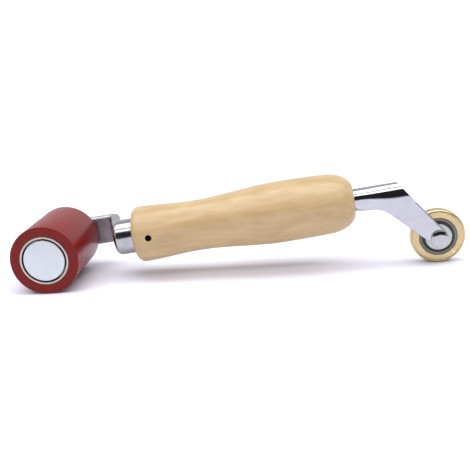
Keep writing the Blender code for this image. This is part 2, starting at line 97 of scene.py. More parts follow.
# Collar and bent flat bar
COLLAR_R = 10.5
COLLAR_L = 12.2
NOSE_R = 8.0
NOSE_L = 2.8
BAR_T = 5.6
BAR_H = 18.0
BAR_EDGE_R = 2.0
BAR_Y = 30.6
BAR_BENDS = (31.8, 38.9)
BAR_END_X = 47.0
BEND_REACH = 4.2
BAR_BACK = BAR_Y + BAR_T / 2
BAR_FRONT = BAR_Y - BAR_T / 2
WASHER_R = 8.0
WASHER_T = 1.5
NUT_FLATS = 13.0
NUT_T = 5.5
NUT_CROWN_R = 5.4
TAIL_END = BAR_BACK + WASHER_T + NUT_T + 2.2
THREAD_PITCH = 1.25
THREAD_CREST_R = 0.44
BOSS_R = 6.9
STANDOFF_R = 7.0

# Penny arm, brass wheel and what holds them together
ROD_R = 6.5
ROD_IN = 46.0
BLADE_FRONT = AXIS_Y - ROD_R - 0.01
BLADE_BACK = -1.65
BLADE_EDGE = 0.9
BLADE_END_R = 5.2
BLADE_DROP = 3.2
CORNER = Vector((204.6, 49.3))
CROOK = Vector((195.4, 35.2))
WHEEL_R = 15.9
WHEEL_W = 7.5
WHEEL_FRONT = -0.3
GROOVE_R = 14.45
PENNY_AXLE = Vector((228.0, 0, WHEEL_R))
PENNY_BEARING = dict(out=11.0, bore=4.15, width=7.0, ball=1.85, count=7)
SPACER_R = 7.75
SPACER_LIP_R = 5.4
RIVET_HEAD = -5.35
RIVET_R = 5.15
RIVET_H = 2.2
SPIGOT_R = 3.0
FLANGE_R = 5.6
FLANGE_T = 1.5


def to_row(point):
    """From drawing millimetres to the frame's metres."""
    return DRAWING_ZERO + Vector(point) * MM


def on_handle_line(x, y=0.0, z=0.0):
    """A point given along, across and above the line the handle is turned about."""
    return Matrix.Rotation(-TILT, 4, "Y") @ Vector((x, y, z)) + Vector((0, AXIS_Y, AXIS_Z))


# Numbers inside node trees -----------------------------------------------------------------------

class Number:
    """A socket of a node tree that can be added, multiplied and so on like an ordinary number."""

    def __init__(self, tree, socket):
        self.tree = tree
        self.socket = socket

    def sum(self, operation, *others):
        node = self.tree.nodes.new("ShaderNodeMath")
        node.operation = operation
        for slot, value in zip(node.inputs, (self, *others)):
            if isinstance(value, Number):
                self.tree.links.new(value.socket, slot)
            else:
                slot.default_value = value
        return Number(self.tree, node.outputs[0])

    __add__ = partialmethod(sum, "ADD")
    __sub__ = partialmethod(sum, "SUBTRACT")
    __mul__ = partialmethod(sum, "MULTIPLY")
    __truediv__ = partialmethod(sum, "DIVIDE")
    __lt__ = partialmethod(sum, "LESS_THAN")
    root = partialmethod(sum, "SQRT")
    cosine = partialmethod(sum, "COSINE")
    sine = partialmethod(sum, "SINE")

    def __ge__(self, other):
        return (self < other) * -1.0 + 1.0

    def ramp(self, low, high, start=0.0, end=1.0):
        """Ease from start to end as this number goes from low to high, and hold outside."""
        node = self.tree.nodes.new("ShaderNodeMapRange")
        node.interpolation_type = "SMOOTHSTEP"
        self.tree.links.new(self.socket, node.inputs["Value"])
        limits = {"From Min": low, "From Max": high, "To Min": start, "To Max": end}
        for label, value in limits.items():
            node.inputs[label].default_value = value
        return Number(self.tree, node.outputs["Result"])


# Finishes ----------------------------------------------------------------------------------------

class Finish:
    """A procedural material whose pattern is measured in millimetres from a chosen point."""

    def __init__(self, name, centre=(0, 0, 0), turn=0.0):
        self.material = bpy.data.materials.new(name)
        self.material.use_nodes = True
        self.tree = self.material.node_tree
        self.shader = self.tree.nodes["Principled BSDF"]
        swing = Matrix.Rotation(turn, 3, "Y")
        where = self.tree.nodes.new("ShaderNodeTexCoord")
        mapping = self.tree.nodes.new("ShaderNodeMapping")
        mapping.inputs["Scale"].default_value = (1 / MM,) * 3
        mapping.inputs["Rotation"].default_value = (0, turn, 0)
        mapping.inputs["Location"].default_value = -(swing @ (to_row(centre) / MM))
        self.tree.links.new(where.outputs["Object"], mapping.inputs["Vector"])
        self.place = mapping.outputs["Vector"]

    def fixed(self, **values):
        """Set plain values straight on the shader."""
        for label, value in values.items():
            self.shader.inputs[label.replace("_", " ")].default_value = value
        return self

    def vector(self, operation, first, second=(0, 0, 0)):
        node = self.tree.nodes.new("ShaderNodeVectorMath")
        node.operation = operation
        for slot, value in zip(node.inputs, (first, second)):
            if isinstance(value, bpy.types.NodeSocket):
                self.tree.links.new(value, slot)
            else:
                slot.default_value = value
        return node.outputs["Value" if operation == "LENGTH" else "Vector"]

    def axis(self, label):
        node = self.tree.nodes.new("ShaderNodeSeparateXYZ")
        self.tree.links.new(self.place, node.inputs[0])
        return Number(self.tree, node.outputs[label])

    def radius(self, plane=(1, 0, 1), place=None):
        """Distance from the middle, measured in a plane."""
        flat = self.vector("MULTIPLY", place or self.place, plane)
        return Number(self.tree, self.vector("LENGTH", flat))

    def cloud(self, size, detail=3.0, place=None, warp=0.0):
        """Noise whose patches are about size millimetres along each axis."""
        sizes = size if isinstance(size, tuple) else (size,) * 3
        spread = self.vector("MULTIPLY", place or self.place, tuple(1 / s for s in sizes))
        node = self.tree.nodes.new("ShaderNodeTexNoise")
        node.inputs["Scale"].default_value = 1.0
        node.inputs["Detail"].default_value = detail
        node.inputs["Distortion"].default_value = warp
        self.tree.links.new(spread, node.inputs["Vector"])
        self.last_noise = node
        return Number(self.tree, node.outputs["Fac"])

    def lines(self, along, detail=2.0):
        """Noise that changes along one number only, such as the marks of a cutting tool."""
        node = self.tree.nodes.new("ShaderNodeTexNoise")
        node.noise_dimensions = "1D"
        node.inputs["Scale"].default_value = 1.0
        node.inputs["Detail"].default_value = detail
        self.tree.links.new(along.socket, node.inputs["W"])
        return Number(self.tree, node.outputs["Fac"])

    def edges(self, low=0.53, high=0.62):
        """One on the piece's outward edges, where plating and paint wear first."""
        node = self.tree.nodes.new("ShaderNodeNewGeometry")
        return Number(self.tree, node.outputs["Pointiness"]).ramp(low, high)

    def blend(self, amount, first, second):
        """Mix two colours, each a tuple or a socket."""
        node = self.tree.nodes.new("ShaderNodeMix")
        node.data_type = "RGBA"
        self.tree.links.new(amount.socket, node.inputs[0])
        for slot, value in ((node.inputs[6], first), (node.inputs[7], second)):
            if isinstance(value, bpy.types.NodeSocket):
                self.tree.links.new(value, slot)
            else:
                slot.default_value = (*value, 1)
        return node.outputs[2]

    def wear(self, colour, rough, *heights):
        """Join colour, roughness and (height, depth in millimetres) pairs to the shader."""
        self.tree.links.new(colour, self.shader.inputs["Base Color"])
        self.tree.links.new(rough.socket, self.shader.inputs["Roughness"])
        normal = None
        for height, depth in heights:
            node = self.tree.nodes.new("ShaderNodeBump")
            node.inputs["Strength"].default_value = 1.0
            node.inputs["Distance"].default_value = depth * MM
            self.tree.links.new(height.socket, node.inputs["Height"])
            if normal:
                self.tree.links.new(normal, node.inputs["Normal"])
            normal = node.outputs["Normal"]
        if normal:
            self.tree.links.new(normal, self.shader.inputs["Normal"])
        return self.material


def turned_metal(name, light, dark, rough, centre,
                 pitch=0.35, depth=0.0008, patch=6.0, polish=0.05):
    """Metal with rings left by the lathe, cloudy handling marks and brighter edges."""
    f = Finish(name, centre).fixed(Metallic=1.0)
    rings = f.lines((f.radius() + f.axis("Y") * 1.37) / pitch, 3.0)
    clouds = f.cloud(patch, 4.0)
    specks = f.cloud(patch * 0.08, 2.0)
    shade = (rings * 0.45 + clouds * 0.4 + specks * 0.15).ramp(0.32, 0.68)
    colour = f.blend(shade, dark, light)
    colour = f.blend(f.edges(), colour, tuple(min(1.0, c * 1.25) for c in light))
    spread = (rings * 0.5 + clouds * 0.5).ramp(0.3, 0.7, rough - polish, rough + polish)
    return f.wear(colour, spread, (rings, depth), (specks, depth * 0.5))


def silicone_finish():
    """Brick-red ground silicone: satin, with fine grinding rings, faint bloom and rubbed rims."""
    f = Finish("brick_red_silicone", ROLLER_AXLE)
    f.fixed(IOR=1.38, Specular_IOR_Level=0.34, Subsurface_Weight=0.04,
            Subsurface_Radius=(1.0, 0.25, 0.15), Subsurface_Scale=0.0015)
    rings = f.lines(f.axis("Y") / 0.6 + f.radius() * 0.9, 3.0)
    bloom = f.cloud(7.0, 4.0, warp=0.6)
    grain = f.cloud(0.35, 2.0)
    shade = (bloom * 0.6 + grain * 0.25 + rings * 0.15).ramp(0.3, 0.7)
    colour = f.blend(shade, (0.158, 0.0070, 0.0036), (0.200, 0.0095, 0.0048))
    dust = f.cloud(0.9, 3.0).ramp(0.66, 0.78, 0.0, 0.12)
    colour = f.blend(dust, colour, (0.55, 0.25, 0.20))
    rim = f.radius().ramp(ROLLER_R - 0.7, ROLLER_R, 0.0, 1.0) * f.edges(0.51, 0.6) * 0.35
    colour = f.blend(rim, colour, (0.46, 0.12, 0.09))
    rough = (bloom * 0.6 + grain * 0.4).ramp(0.3, 0.7, 0.26, 0.38)
    return f.wear(colour, rough, (grain, 0.003), (rings, 0.0004))


def wood_finish():
    """Pale close-grained maple under a thin clear lacquer, with painted shade and some drill burn
    in the pin hole.
    """
    f = Finish("lacquered_maple", (0, AXIS_Y, AXIS_Z), TILT)
    f.fixed(Coat_Weight=0.30, Coat_Roughness=0.22, IOR=1.48)
    f.cloud((60.0, 22.0, 22.0), 2.0)
    drift = f.vector("SUBTRACT", f.last_noise.outputs["Color"], (0.5, 0.5, 0.5))
    bent = f.vector("ADD", f.place, f.vector("MULTIPLY", drift, (20.0, 9.0, 9.0)))
    from_heart = f.vector("ADD", bent, (0.0, -12.0, 41.0))
    leaning = f.vector("MULTIPLY", from_heart, (0.14, 1.0, 1.0))
    band = (f.radius((1, 1, 1), leaning) / 3.4).sum("FRACT")
    late = band.ramp(0.35, 0.92) * band.ramp(0.93, 1.0, 1.0, 0.0)
    fibre = f.cloud((14.0, 0.5, 0.5), 4.0, bent)
    streak = f.cloud((46.0, 3.2, 3.2), 3.0, bent)
    mottle = f.cloud((24.0, 9.0, 9.0), 3.0, warp=0.8)
    flecks = f.cloud((2.6, 0.24, 0.24), 2.0, bent).ramp(0.66, 0.76)
    shade = (mottle * 0.6 + streak * 0.4).ramp(0.32, 0.68)
    colour = f.blend(shade, (0.475, 0.325, 0.150), (0.590, 0.425, 0.225))
    colour = f.blend(late * streak.ramp(0.35, 0.65) * 0.22, colour, (0.370, 0.225, 0.088))
    colour = f.blend(fibre.ramp(0.42, 0.72) * 0.12, colour, (0.380, 0.245, 0.105))
    colour = f.blend(flecks * 0.22, colour, (0.300, 0.165, 0.070))
    # Painted shade, with some drill burn: the wall of the pin hole is darkened almost to black.
    hole = f.vector("ADD", f.place, (-HANDLE_X - PIN_AT, 0.0, -PIN_RISE))
    hole_shade_and_burn = f.radius(place=hole).ramp(PIN_HOLE_R + 0.02, PIN_HOLE_R + 0.12, 1.0, 0.0)
    colour = f.blend(hole_shade_and_burn, colour, (0.020, 0.010, 0.006))
    rough = (fibre * 0.5 + mottle * 0.5).ramp(0.3, 0.7, 0.36, 0.50)
    return f.wear(colour, rough, (fibre, 0.010), (streak, 0.020))


def chrome_finish(name, light, dark, rough, centre, satin_below=None):
    """Bright plating with polishing lines, faint smears and, on the flat blade, a softer lustre."""
    f = Finish(name, centre, TILT).fixed(Metallic=1.0)
    smear = f.cloud((9.0, 4.0, 4.0), 4.0, warp=0.5)
    polish = f.cloud((8.0, 0.12, 0.12), 2.0)
    pits = f.cloud(0.28, 2.0).ramp(0.70, 0.82)
    colour = f.blend(smear.ramp(0.3, 0.7), dark, light)
    colour = f.blend(pits * 0.30, colour, (0.36, 0.36, 0.38))
    dulling = smear.ramp(0.3, 0.7, rough - 0.025, rough + 0.025)
    if satin_below is not None:
        satin = f.axis("Z").ramp(satin_below - 4.0, satin_below, 0.11, 0.0)
        dulling = dulling + satin * smear.ramp(0.2, 0.8, 0.7, 1.1)
    return f.wear(colour, dulling, (polish, 0.0005), (pits, -0.0015))


def plate_finish(name, light, dark, rough, centre, grain=0.30, depth=0.006):
    """Dull barrelled or zinc-plated steel: fine grain, stains and rubbed bright edges."""
    f = Finish(name, centre).fixed(Metallic=1.0)
    stain = f.cloud(5.0, 5.0, warp=0.7)
    fine = f.cloud(grain, 3.0)
    brushed = f.cloud((6.0, 0.2, 0.3), 3.0)
    shade = (stain * 0.5 + fine * 0.3 + brushed * 0.2).ramp(0.32, 0.68)
    colour = f.blend(shade, dark, light)
    colour = f.blend(f.edges() * 0.8, colour, (0.72, 0.72, 0.74))
    dulling = (fine * 0.5 + stain * 0.5).ramp(0.3, 0.7, rough - 0.07, rough + 0.09)
    return f.wear(colour, dulling, (fine, depth), (brushed, depth * 0.4))


def moulded_finish(name, light, dark, rough, centre):
    """Moulded rubber or nylon: fine texture, faint rings and a dusty look."""
    f = Finish(name, centre).fixed(IOR=1.5)
    rings = f.lines(f.radius() / 0.5)
    fine = f.cloud(0.25, 2.0)
    dusty = f.cloud(2.5, 4.0)
    colour = f.blend((dusty * 0.7 + rings * 0.3).ramp(0.35, 0.7), dark, light)
    dulling = (fine * 0.5 + dusty * 0.5).ramp(0.3, 0.7, rough - 0.1, rough + 0.1)
    return f.wear(colour, dulling, (fine, 0.005), (rings, 0.004))


FINISHES = {
    "silicone": silicone_finish(),
    "tube": turned_metal("satin_turned_tube", (0.57, 0.50, 0.47), (0.44, 0.385, 0.365), 0.30,
                         ROLLER_AXLE),
    "head": turned_metal("satin_axle_steel", (0.62, 0.65, 0.66), (0.56, 0.59, 0.60), 0.34,
                         ROLLER_AXLE, pitch=0.5, depth=0.0005, patch=4.0),
    "bar": plate_finish("dull_flat_bar", (0.46, 0.445, 0.475), (0.33, 0.32, 0.345), 0.42,
                        ROLLER_AXLE),
    "collar": chrome_finish("bright_collar_chrome", (0.44, 0.44, 0.455), (0.38, 0.38, 0.395), 0.17,
                            on_handle_line(HANDLE_X)),
    "wood": wood_finish(),
    "pin": plate_finish("dull_pin_steel", (0.22, 0.22, 0.23), (0.12, 0.12, 0.12), 0.45,
                        on_handle_line(HANDLE_X + PIN_AT)),
    "arm": chrome_finish("bright_arm_chrome", (0.515, 0.515, 0.545), (0.465, 0.465, 0.50), 0.075,
                         (0, AXIS_Y, AXIS_Z), satin_below=-3.0),
    "brass": turned_metal("turned_brass", (0.65, 0.515, 0.290), (0.52, 0.405, 0.215), 0.28,
                          PENNY_AXLE, pitch=0.30, depth=0.0012, patch=5.0),
    "rivet": turned_metal("peened_rivet_chrome", (0.52, 0.51, 0.53), (0.38, 0.37, 0.39), 0.12,
                          PENNY_AXLE, pitch=0.6, depth=0.0004, patch=2.0, polish=0.03),
    "spacer": turned_metal("pale_spacer_steel", (0.49, 0.53, 0.48), (0.38, 0.41, 0.37), 0.26,
                           PENNY_AXLE),
    "race": turned_metal("ground_race_steel", (0.20, 0.205, 0.175), (0.12, 0.12, 0.10), 0.28,
                         PENNY_AXLE, pitch=0.2, depth=0.0004),
    "ball": turned_metal("polished_ball_steel", (0.66, 0.66, 0.68), (0.58, 0.58, 0.60), 0.06,
                         PENNY_AXLE, pitch=2.0, depth=0.0001, patch=1.0, polish=0.03),
    "seal": moulded_finish("black_seal_rubber", (0.055, 0.052, 0.050), (0.028, 0.026, 0.026), 0.50,
                           PENNY_AXLE),
    "cage": moulded_finish("natural_nylon", (0.62, 0.55, 0.41), (0.48, 0.42, 0.30), 0.45,
                           ROLLER_AXLE),
    "zinc": plate_finish("bright_zinc", (0.62, 0.64, 0.66), (0.46, 0.48, 0.50), 0.30,
                         ROLLER_AXLE, grain=0.5, depth=0.003),
    "spring": plate_finish("oiled_spring_steel", (0.12, 0.115, 0.11), (0.05, 0.048, 0.046), 0.38,
                           ROLLER_AXLE),
    "alloy": turned_metal("machined_alloy", (0.72, 0.72, 0.73), (0.56, 0.56, 0.57), 0.28,
                          ROLLER_AXLE),
}


# Making pieces -----------------------------------------------------------------------------------

def mesh_from(name, bm, smooth=35.0):
    """A clean mesh in the frame's metres from one drawn in millimetres."""
    bmesh.ops.remove_doubles(bm, verts=bm.verts, dist=0.0005)
    bmesh.ops.recalc_face_normals(bm, faces=bm.faces)
    for vert in bm.verts:
        vert.co = to_row(vert.co)
    mesh = bpy.data.meshes.new(name)
    bm.to_mesh(mesh)
    bm.free()
    shade(mesh, smooth)
    return mesh


def shade(mesh, smooth=35.0):
    mesh.polygons.foreach_set("use_smooth", [True] * len(mesh.polygons))
    mesh.set_sharp_from_angle(angle=math.radians(smooth))


def placed(name, data):
    """A new object in the scene."""
    obj = bpy.data.objects.new(name, data)
    bpy.context.scene.collection.objects.link(obj)
    return obj


def piece(name, bm, finish, *nodes, smooth=35.0):
    """Make a piece that stands for CAD nodes; settle() is called once its mesh is final."""
    obj = placed(name, mesh_from(name, bm, smooth))
    obj.data.materials.append(FINISHES[finish])
    if nodes:
        settle(obj, *nodes)
    return obj


def settle(obj, *nodes):
    """Stand for the CAD nodes and ride on their body."""
    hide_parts(*nodes)
    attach(obj, BODY_OF[nodes[0]])
    return obj


def finished(obj):
    """The object's mesh with its modifiers worked in."""
    bpy.context.view_layer.update()
    graph = bpy.context.evaluated_depsgraph_get()
    mesh = bpy.data.meshes.new_from_object(obj.evaluated_get(graph))
    obj.modifiers.clear()
    return mesh


def carve(obj, tool_bm, operation="DIFFERENCE", smooth=35.0):
    """Cut or join a shape drawn in millimetres."""
    tool = placed("cutter", mesh_from("cutter", tool_bm))
    modifier = obj.modifiers.new("carve", "BOOLEAN")
    modifier.operation = operation
    modifier.solver = "EXACT"
    modifier.object = tool
    obj.data = finished(obj)
    bpy.data.objects.remove(tool, do_unlink=True)
    bm = bmesh.new()
    bm.from_mesh(obj.data)
    bmesh.ops.remove_doubles(bm, verts=bm.verts, dist=1e-6)
    bmesh.ops.dissolve_degenerate(bm, dist=1e-7, edges=bm.edges)
    bm.to_mesh(obj.data)
    bm.free()
    shade(obj.data, smooth)
    return obj


def even_normals(obj):
    """Let large flat faces rule the shading where they meet small edges."""
    modifier = obj.modifiers.new("even", "WEIGHTED_NORMAL")
    modifier.keep_sharp = True
    modifier.weight = 80
    obj.data = finished(obj)
    return obj


def eased(section, radius, steps=5, closed=True):
    """Round the corners of a section; a point may carry its own radius as a third number."""
    rounded = []
    count = len(section)
    for i, point in enumerate(section):
        here = Vector(point[:2])
        reach = point[2] if len(point) > 2 else radius
        before = Vector(section[i - 1][:2]) - here
        after = Vector(section[(i + 1) % count][:2]) - here
        is_end = not closed and i in (0, count - 1)
        if reach < 1e-4 or is_end or before.angle(after) > math.radians(172):
            rounded.append(tuple(here))
            continue
        reach = min(reach, before.length * 0.48, after.length * 0.48)
        start = here + before.normalized() * reach
        end = here + after.normalized() * reach
        rounded += [tuple(spot) for spot in curve(start, here, end, steps)]
    return rounded


def curve(start, bend, end, steps):
    """Points on a smooth bend that leaves and arrives along its two straight sides."""
    shares = [i / steps for i in range(steps + 1)]
    return [start * (1 - t) ** 2 + bend * 2 * t * (1 - t) + end * t ** 2 for t in shares]


def ring_section(inner, outer, front, back):
    return [(inner, front), (outer, front), (outer, back), (inner, back)]


def revolve(section, spot, sides=SIDES, closed=True):
    """Turn a section about an axis; spot(radius, angle, along) gives each point."""
    bm = bmesh.new()
    loops = []
    for radius, along in section:
        angles = [math.tau * i / sides for i in range(1 if radius < 1e-5 else sides)]
        loops.append([bm.verts.new(spot(radius, angle, along)) for angle in angles])
    pairs = list(zip(loops, loops[1:]))
    if closed:
        pairs.append((loops[-1], loops[0]))
    for low, high in pairs:
        for i in range(sides):
            j = (i + 1) % sides
            corners = [low[i % len(low)], low[j % len(low)]]
            corners += [high[j % len(high)], high[i % len(high)]]
            unique = list(dict.fromkeys(corners))
            if len(unique) > 2:
                bm.faces.new(unique)
    return bm


def about(axle):
    """Placement about a wheel axle that runs along Y."""
    def spot(radius, angle, along):
        return axle + Vector((radius * math.sin(angle), along, radius * math.cos(angle)))
    return spot


def about_handle(radius, angle, along):
    """Placement about the line of the handle."""
    return on_handle_line(along, radius * math.cos(angle), radius * math.sin(angle))


def bored(centre, along, radius, length, sides=64):
    """A round cutter through a centre."""
    bm = bmesh.new()
    bmesh.ops.create_cone(bm, cap_ends=True, segments=sides, radius1=radius, radius2=radius,
                          depth=length)
    turn = Vector((0, 0, 1)).rotation_difference(Vector(along)).to_matrix().to_4x4()
    bmesh.ops.transform(bm, matrix=Matrix.Translation(Vector(centre)) @ turn, verts=bm.verts)
    return bm


def turned(section, ease, spot, sides=SIDES):
    """A solid whose section starts and ends on the axis."""
    return revolve(eased(section, ease, closed=False), spot, sides, closed=False)


def lathe(name, finish, section, axle, ease, node, sides=SIDES):
    """A ring turned from a section that stands clear of the axis."""
    return piece(name, revolve(eased(section, ease), about(axle), sides), finish, node)


# Node trees that make shapes ---------------------------------------------------------------------

def shape_tree(name, sizes):
    """A geometry tree with a named input for every size, and one for the finish."""
    tree = bpy.data.node_groups.new(name, "GeometryNodeTree")
    tree.interface.new_socket("Geometry", in_out="OUTPUT", socket_type="NodeSocketGeometry")
    for label, value in sizes.items():
        kind = "NodeSocketInt" if isinstance(value, int) else "NodeSocketFloat"
        tree.interface.new_socket(label, in_out="INPUT", socket_type=kind)
    tree.interface.new_socket("Finish", in_out="INPUT", socket_type="NodeSocketMaterial")
    return tree, tree.nodes.new("NodeGroupInput").outputs


def node_in(tree, kind, links):
    node = tree.nodes.new(kind)
    for label, value in links.items():
        if isinstance(value, Number):
            value = value.socket
        if isinstance(value, bpy.types.NodeSocket):
            tree.links.new(value, node.inputs[label])
        else:
            node.inputs[label].default_value = value
    return node


def close_tree(tree, geometry, finish):
    real = node_in(tree, "GeometryNodeRealizeInstances", {"Geometry": geometry})
    painted = node_in(tree, "GeometryNodeSetMaterial",
                      {"Geometry": real.outputs[0], "Material": finish})
    tree.links.new(painted.outputs[0], tree.nodes.new("NodeGroupOutput").inputs[0])


def grown(tree, sizes, finish):
    """The plain mesh, in millimetres, that a tree makes for these sizes."""
    host = placed("host", bpy.data.meshes.new("host"))
    modifier = host.modifiers.new("shape", "NODES")
    modifier.node_group = tree
    values = {**sizes, "Finish": FINISHES[finish]}
    for item in tree.interface.items_tree:
        if item.in_out == "INPUT":
            modifier[item.identifier] = values[item.name]
    mesh = finished(host)
    bpy.data.objects.remove(host, do_unlink=True)
    bm = bmesh.new()
    bm.from_mesh(mesh)
    return bm


def ball_ring_tree(sizes):
    """Balls spaced evenly round a circle."""
    tree, given = shape_tree("ball_ring", sizes)
    circle = node_in(tree, "GeometryNodeMeshCircle",
                     {"Vertices": given["Count"], "Radius": given["Pitch radius"]})
    ball = node_in(tree, "GeometryNodeMeshUVSphere",
                   {"Segments": given["Segments"], "Rings": given["Rings"],
                    "Radius": given["Ball radius"]})
    balls = node_in(tree, "GeometryNodeInstanceOnPoints",
                    {"Points": circle.outputs[0], "Instance": ball.outputs[0]})
    close_tree(tree, balls.outputs[0], given["Finish"])
    return tree


def thread_tree(sizes):
    """A round-topped screw thread wound along +Z."""
    tree, given = shape_tree("screw_thread", sizes)
    turns = Number(tree, given["Length"]) / Number(tree, given["Pitch"])
    coil = node_in(tree, "GeometryNodeCurveSpiral",
                   {"Resolution": given["Steps per turn"], "Rotations": turns,
                    "Start Radius": given["Root radius"], "End Radius": given["Root radius"],
                    "Height": given["Length"]})
    crest = node_in(tree, "GeometryNodeCurvePrimitiveCircle",
                    {"Resolution": 8, "Radius": given["Crest radius"]})
    wound = node_in(tree, "GeometryNodeCurveToMesh",
                    {"Curve": coil.outputs[0], "Profile Curve": crest.outputs[0],
                     "Fill Caps": True})
    close_tree(tree, wound.outputs[0], given["Finish"])
    return tree


def handle_tree(sizes):
    """A turned grip: eased end, waist, palm swell and domed tail, closed at both ends."""
    tree, given = shape_tree("turned_grip", sizes)
    size = {label: Number(tree, given[label]) for label in sizes}
    sides = size["Sides"] + 1
    grid = node_in(tree, "GeometryNodeMeshGrid",
                   {"Size X": 1.0, "Size Y": 1.0, "Vertices X": given["Rings"],
                    "Vertices Y": sides})
    position = tree.nodes.new("GeometryNodeInputPosition").outputs[0]
    spot = node_in(tree, "ShaderNodeSeparateXYZ", {0: position})
    down = Number(tree, spot.outputs["X"]) + 0.5
    around = (Number(tree, spot.outputs["Y"]) + 0.5) * math.tau
    step = (size["Rings"] - 1).sum("POWER", -1.0)
    not_pole = (down >= step * 0.5) * (down < step * -0.5 + 1)
    travel = (down - step) / (step * -2 + 1)

    lead, crown, length = size["Lead"], size["Crown at"], size["Length"]
    first, last = 0.08, 0.78
    opening = lead * ((travel * (math.pi / 2 / first)).cosine() * -1 + 1)
    middle = lead + (crown - lead) * ((travel - first) / (last - first))
    closing = crown + (length - crown) * ((travel - last) * (math.pi / 2 / (1 - last))).sine()
    along = opening * (travel < first) + closing * (travel >= last)
    along = along + middle * ((travel >= first) * (travel < last))

    def swell(low, high, start, end):
        share = (along - start) / (end - start)
        return low + (high - low) * ((share * math.pi).cosine() * -0.5 + 0.5)

    face, end = size["End face radius"], size["End radius"]
    waist, waist_at = size["Waist radius"], size["Waist at"]
    palm, palm_at = size["Swell radius"], size["Swell at"]
    crown_r, tail = size["Crown radius"], size["Tail face radius"]
    from_lead = along / lead * -1 + 1
    past_palm = (along - palm_at) / (crown - palm_at)
    past_crown = (along - crown) / (length - crown)
    parts = (
        (face + (end - face) * (from_lead * from_lead * -1 + 1).root(), None, lead),
        (swell(end, waist, lead, waist_at), lead, waist_at),
        (swell(waist, palm, waist_at, palm_at), waist_at, palm_at),
        (palm - (palm - crown_r) * past_palm * past_palm, palm_at, crown),
        (tail + (crown_r - tail) * (past_crown * past_crown * -1 + 1).root(), crown, None),
    )
    radius = None
    for value, start, stop in parts:
        inside = value if start is None else value * (along >= start)
        inside = inside if stop is None else inside * (along < stop)
        radius = inside if radius is None else radius + inside
    radius = radius * not_pole
    place = node_in(tree, "ShaderNodeCombineXYZ",
                    {"X": along, "Y": radius * around.cosine(), "Z": radius * around.sine()})
    skin = node_in(tree, "GeometryNodeSetPosition",
                   {"Geometry": grid.outputs[0], "Position": place.outputs[0]})
    shut = node_in(tree, "GeometryNodeMergeByDistance",
                   {"Geometry": skin.outputs[0], "Distance": 0.002})
    close_tree(tree, shut.outputs[0], given["Finish"])
    return tree


# Bearings ----------------------------------------------------------------------------------------

def bearing(prefix, axle, front, size):
    """Two ground races, a shield each side, and the ring of balls."""
    width, ball = size["width"], size["ball"]
    middle = front + width / 2
    back = front + width
    pitch = (size["out"] + size["bore"]) / 2
    groove = ball + 0.12
    inner_lip = pitch - ball * 0.52
    outer_lip = pitch + ball * 0.52
    reach = math.acos((pitch - inner_lip) / groove)

    def track(side, steps=14):
        angles = [-reach + 2 * reach * i / steps for i in range(steps + 1)]
        return [(pitch + side * groove * math.cos(angle), middle + groove * math.sin(angle), 0.0)
                for angle in angles]

    inner = [(size["bore"], front, 0.4), (inner_lip, front, 0.15)] + track(-1)
    inner += [(inner_lip, back, 0.15), (size["bore"], back, 0.4)]
    lathe(prefix + "_ground_inner_race", "race", inner, axle, 0.1, prefix + "_inner_race", sides=96)
    step, recess = outer_lip + 0.9, 0.75
    outer = [(step, front, 0.12), (size["out"], front, 0.4)]
    outer += [(size["out"], back, 0.4), (step, back, 0.12)]
    outer += [(step, back - recess, 0.0), (outer_lip, back - recess, 0.0)] + track(1)[::-1]
    outer += [(outer_lip, front + recess, 0.0), (step, front + recess, 0.0)]
    lathe(prefix + "_ground_outer_race", "race", outer, axle, 0.1, prefix + "_outer_race", sides=96)
    for side, outside, into in (("front", front + 0.25, 1), ("back", back - 0.25, -1)):
        near, far = inner_lip + 0.25, step - 0.12
        shield = [(near, 0.10), (near + 0.35, 0), (near + 0.8, 0.12), (far - 0.9, 0.12)]
        shield += [(far - 0.5, 0), (far, 0), (far, 0.35), (near, 0.35)]
        shield = [(radius, outside + depth * into) for radius, depth in shield]
        lathe(prefix + "_" + side + "_moulded_seal", "seal", shield, axle, 0.07,
              prefix + "_" + side + "_seal", sides=96)
    sizes = {"Count": size["count"], "Pitch radius": pitch, "Ball radius": ball,
             "Segments": 32, "Rings": 20}
    balls = grown(ball_ring_tree(sizes), sizes, "ball")
    turn = Matrix.Rotation(-math.pi / 2, 4, "Y") @ Matrix.Rotation(math.pi / 2, 4, "X")
    shift = Matrix.Translation(axle + Vector((0, middle, 0)))
    bmesh.ops.transform(balls, matrix=shift @ turn, verts=balls.verts)
    nodes = [prefix + "_ball_" + str(i + 1) for i in range(size["count"])]
    piece(prefix + "_ball_ring", balls, "ball", *nodes, smooth=180.0)
    frame["nodes"][prefix + "_cage"].material_slots[0].material = FINISHES["cage"]


# Silicone roller ---------------------------------------------------------------------------------

def silicone_roller():
    half = ROLLER_W / 2
    half_bearing = ROLLER_BEARING["width"] / 2
    groove = BEARING_Y + half_bearing + 0.2
    groove_end, groove_r = groove + 1.3, TUBE_BORE_R + 0.6
    sleeve = ring_section(TUBE_R + CLEAR, ROLLER_R, -half, half)
    lathe("ground_silicone_sleeve", "silicone", sleeve, ROLLER_AXLE, 0.45, "silicone_sleeve",
          sides=192)
    tube = ring_section(TUBE_BORE_R, TUBE_R, -half, half)
    tube += [(TUBE_BORE_R, groove_end, 0.05), (groove_r, groove_end, 0.0)]
    tube += [(groove_r, groove, 0.0), (TUBE_BORE_R, groove, 0.05)]
    lathe("turned_roller_tube", "tube", tube, ROLLER_AXLE, 0.3, "roller_tube", sides=192)
    bearing("front_bearing", ROLLER_AXLE, -BEARING_Y - half_bearing, ROLLER_BEARING)
    bearing("rear_bearing", ROLLER_AXLE, BEARING_Y - half_bearing, ROLLER_BEARING)
    for node in ("outer_race_spacer", "inner_race_spacer"):
        frame["nodes"][node].material_slots[0].material = FINISHES["alloy"]
    retaining_ring(groove)


